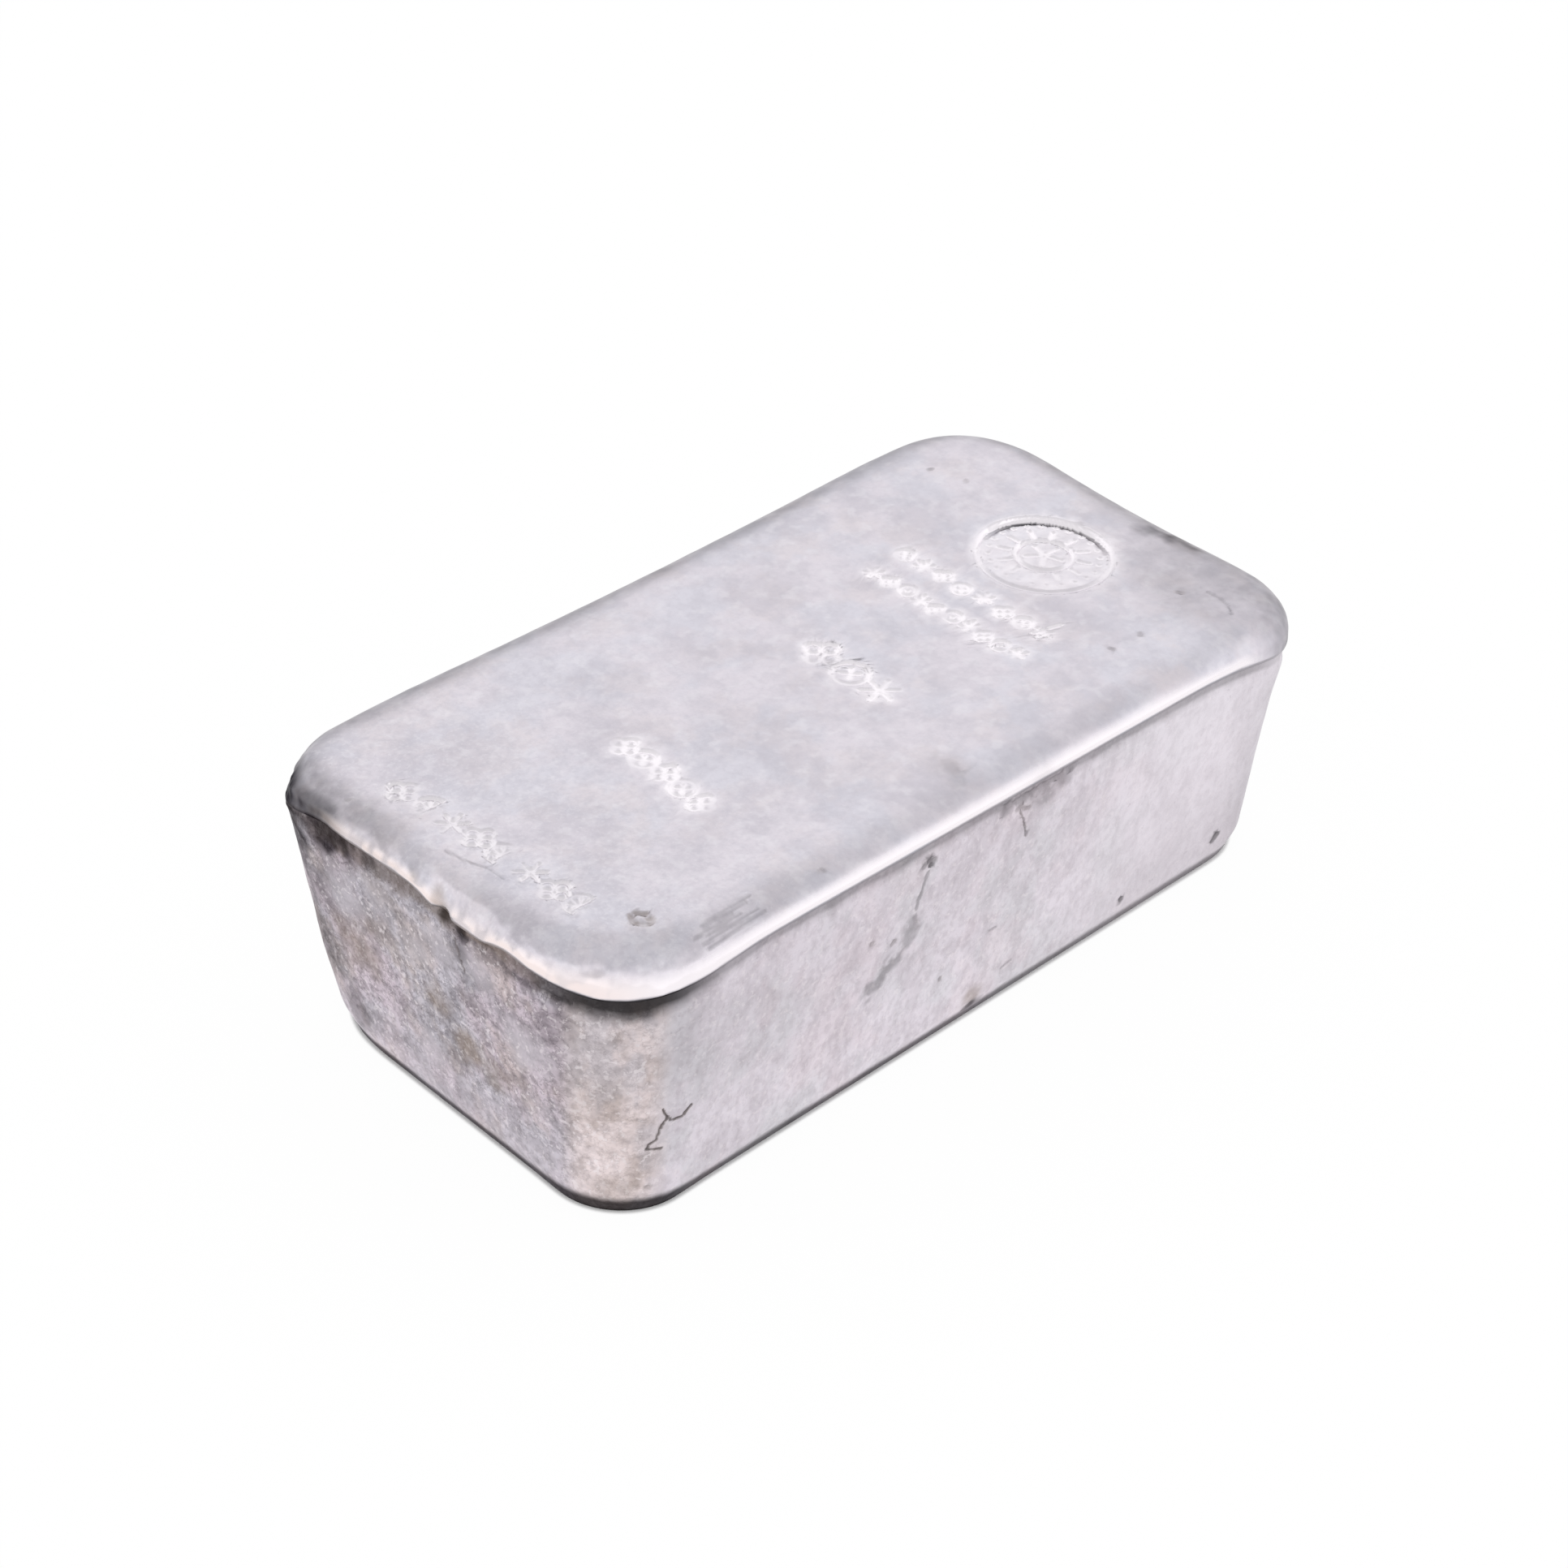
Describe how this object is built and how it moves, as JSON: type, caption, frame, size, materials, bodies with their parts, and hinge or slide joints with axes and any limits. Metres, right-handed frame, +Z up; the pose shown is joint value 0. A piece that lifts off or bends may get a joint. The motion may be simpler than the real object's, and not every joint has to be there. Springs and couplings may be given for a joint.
{
  "type": "cast metal ingot",
  "caption": "Solid cast silver bar with drafted sides, round corners, a small-radius base edge and a rolled rim round its slightly dished poured face.",
  "frame": {"origin": "middle of the base, on the plane the bar rests on", "axes": "+X along the bar's length from the near end to the far end, +Z up through the poured face"},
  "size_m": [0.0874, 0.0452, 0.0278],
  "materials": {
    "cast_silver": "as-cast silver: satin poured face, bright rolled rim, fine rough mould-cast sides with light tarnish"
  },
  "bodies": {
    "root": {"ingot": "cast_silver"}
  },
  "joints": []
}
